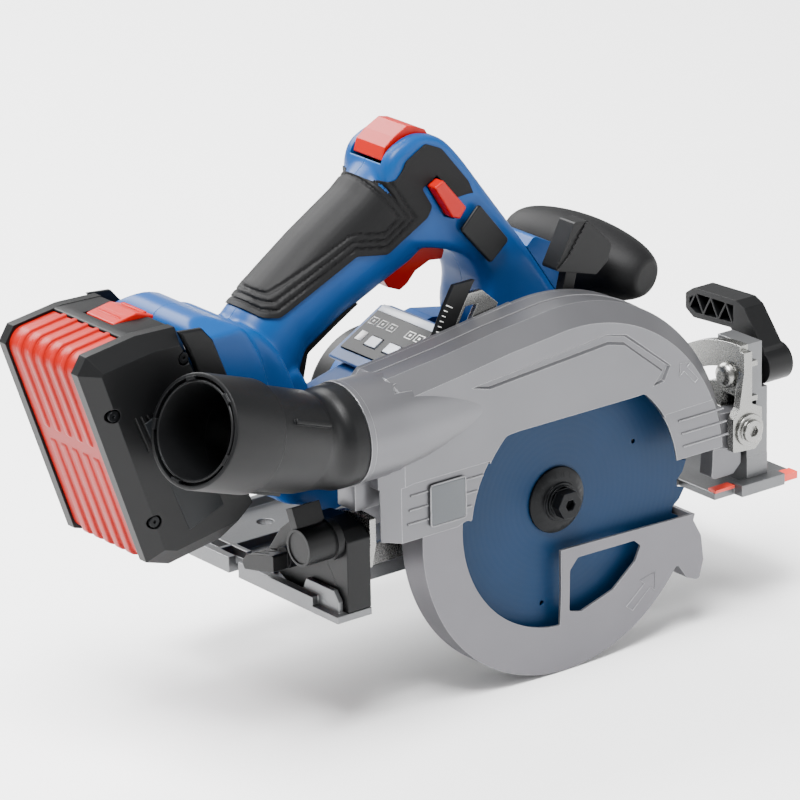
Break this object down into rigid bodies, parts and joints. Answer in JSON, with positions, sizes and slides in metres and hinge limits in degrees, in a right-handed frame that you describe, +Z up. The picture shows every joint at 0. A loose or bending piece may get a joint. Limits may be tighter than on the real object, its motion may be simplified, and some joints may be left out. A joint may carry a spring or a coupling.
{
  "type": "circular saw",
  "caption": "Cordless hand-held circular saw with a closed D handle, side grip, fixed and swinging blade guards, tilting base plate, dust port and slide-on battery pack.",
  "frame": {"origin": "on the sole, in the middle plane of the main handle, under the blade's axis", "axes": "+X forward, the way the saw cuts; +Y to the saw's left, away from the blade; +Z up from the sole"},
  "size_m": [0.4034, 0.1729, 0.2712],
  "materials": {
    "blade_coat": "satin non-stick coat",
    "steel": "turned steel",
    "blackened_steel": "black oxide",
    "zinc_steel": "bright zinc plate",
    "bearing_steel": "ground",
    "copper_core": "laminations and windings",
    "silver_guard": "cast, silver painted",
    "silver_moving_guard": "die cast, bead blasted",
    "plate_alloy": "cast and machined",
    "gear_alloy": "as cast",
    "blue_housing": "fine texture",
    "black_plastic": "fine texture",
    "black_rubber": "moulded grip",
    "red_plastic": "semi-gloss",
    "cell_wrap": "shrink wrap",
    "board": "solder mask",
    "scale_plate": "printed",
    "mark_red": "printed",
    "screen": "membrane"
  },
  "bodies": {
    "saw_body": {"handle_shell_right": "blue_housing", "handle_shell_left": "blue_housing", "motor_housing": "blue_housing", "motor_end_cap": "black_plastic", "gear_case": "gear_alloy", "upper_guard": "silver_guard", "guard_back_plate": "silver_guard", "hinge_lug": "silver_guard", "guard_spring": "steel", "guard_circlip": "steel", "bearings": "bearing_steel", "stator": "copper_core", "grip_overmould": "black_rubber", "aux_neck": "blue_housing", "aux_grip": "black_rubber", "connectivity_cover": "black_plastic", "panel_frame": "black_plastic", "panel_face": "screen", "battery_rail": "black_plastic", "controller_board": "board", "trigger_switch": "black_plastic", "housing_screws": "blackened_steel"},
    "blade_spindle": {"saw_blade": "blade_coat", "spindle": "steel", "inner_flange": "steel", "outer_flange": "blackened_steel", "blade_bolt": "blackened_steel", "spindle_gear": "steel"},
    "rotor": {"rotor_shaft": "steel", "rotor_core": "copper_core", "cooling_fan": "black_plastic"},
    "swing_guard": {"lower_guard": "silver_moving_guard"},
    "trigger_key": {"trigger": "red_plastic"},
    "lock_off": {"lock_off_slider": "red_plastic"},
    "side_key": {"side_button": "red_plastic"},
    "spindle_lock_key": {"spindle_lock": "black_plastic"},
    "mode_key_right": {"mode_button_right": "black_rubber"},
    "mode_key_left": {"mode_button_left": "black_rubber"},
    "battery": {"battery_core": "red_plastic", "battery_shell_right": "black_plastic", "battery_shell_left": "black_plastic", "battery_cells": "cell_wrap", "battery_screws": "blackened_steel"},
    "battery_release": {"battery_latch": "red_plastic"},
    "carrier": {"front_quadrant": "zinc_steel", "hinge_pin": "zinc_steel", "rear_quadrant": "zinc_steel", "depth_arc": "zinc_steel", "depth_scale": "scale_plate"},
    "base": {"base_plate": "plate_alloy", "rear_bevel_block": "black_plastic", "front_bevel_bracket": "plate_alloy", "cut_marks": "mark_red"},
    "front_lever": {"front_bevel_lever": "black_plastic", "front_clamp_bolt": "zinc_steel"},
    "rear_clamp": {"rear_knob": "black_plastic"},
    "rear_stop": {"rear_stop_lever": "black_plastic"},
    "depth_clamp": {"depth_lever": "black_plastic"},
    "dust_port": {"dust_elbow": "black_plastic", "dust_connector": "black_plastic"}
  },
  "joints": [
    {"name": "blade_spin", "type": "hinge", "parent": "saw_body", "child": "blade_spindle", "pos_m": [0, -0.06, 0.0255], "axis": [0, 1, 0], "continuous": true},
    {"name": "rotor_spin", "type": "hinge", "parent": "saw_body", "child": "rotor", "pos_m": [-0.0125, 0, 0.04715], "axis": [0, 1, 0], "continuous": true},
    {"name": "guard_swing", "type": "hinge", "parent": "saw_body", "child": "swing_guard", "pos_m": [0, -0.06, 0.0255], "axis": [0, 1, 0], "range_deg": [0, 110], "stiffness_Nm_per_rad": 0.06, "springref_deg": -68.75},
    {"name": "trigger_pull", "type": "hinge", "parent": "saw_body", "child": "trigger_key", "pos_m": [-0.058, 0, 0.1465], "axis": [0, -1, 0], "range_deg": [0, 7], "stiffness_Nm_per_rad": 0.5, "springref_deg": -11.46},
    {"name": "lock_off_press", "type": "slide", "parent": "saw_body", "child": "lock_off", "axis": [0, 0, -1], "range_m": [0, 0.003], "stiffness_N_per_m": 400, "springref_m": -0.001},
    {"name": "side_button_press", "type": "slide", "parent": "saw_body", "child": "side_key", "axis": [0, 1, 0], "range_m": [0, 0.003], "stiffness_N_per_m": 400, "springref_m": -0.001},
    {"name": "spindle_lock_press", "type": "slide", "parent": "saw_body", "child": "spindle_lock_key", "axis": [0, 1, 0], "range_m": [0, 0.004], "stiffness_N_per_m": 800, "springref_m": -0.001},
    {"name": "mode_right_press", "type": "slide", "parent": "saw_body", "child": "mode_key_right", "axis": [0.4894, 0, -0.8721], "range_m": [0, 0.0005], "stiffness_N_per_m": 400, "springref_m": -0.001},
    {"name": "mode_left_press", "type": "slide", "parent": "saw_body", "child": "mode_key_left", "axis": [0.4894, 0, -0.8721], "range_m": [0, 0.0005], "stiffness_N_per_m": 400, "springref_m": -0.001},
    {"name": "battery_removal", "type": "slide", "parent": "saw_body", "child": "battery", "axis": [-0.373, 0, 0.9278], "range_m": [0, 0.12]},
    {"name": "latch_press", "type": "slide", "parent": "battery", "child": "battery_release", "axis": [0, 0, -1], "range_m": [0, 0.002], "stiffness_N_per_m": 400, "springref_m": -0.001},
    {"name": "depth_tilt", "type": "hinge", "parent": "saw_body", "child": "carrier", "pos_m": [0.118, -0.056, 0.034], "axis": [0, -1, 0], "range_deg": [0, 20]},
    {"name": "bevel_tilt", "type": "hinge", "parent": "carrier", "child": "base", "pos_m": [0, -0.06, 0], "axis": [-1, 0, 0], "range_deg": [0, 50]},
    {"name": "front_lever_turn", "type": "hinge", "parent": "base", "child": "front_lever", "pos_m": [0.14, -0.054, 0.06], "axis": [1, 0, 0], "range_deg": [0, 60]},
    {"name": "rear_knob_turn", "type": "hinge", "parent": "base", "child": "rear_clamp", "pos_m": [-0.14, -0.0585, 0.0385], "axis": [-1, 0, 0], "range_deg": [0, 90]},
    {"name": "rear_stop_turn", "type": "hinge", "parent": "base", "child": "rear_stop", "pos_m": [-0.14, -0.03, 0.022], "axis": [1, 0, 0], "range_deg": [0, 30]},
    {"name": "depth_lever_turn", "type": "hinge", "parent": "saw_body", "child": "depth_clamp", "pos_m": [-0.0606, -0.04, 0.062], "axis": [0, 1, 0], "range_deg": [0, 40]},
    {"name": "dust_swivel", "type": "hinge", "parent": "saw_body", "child": "dust_port", "pos_m": [-0.14, -0.06, 0.0895], "axis": [1, 0, 0], "range_deg": [0, 130]}
  ],
  "couplings": [
    {"joint": "rotor_spin", "follows": "blade_spin", "ratio": -4}
  ]
}
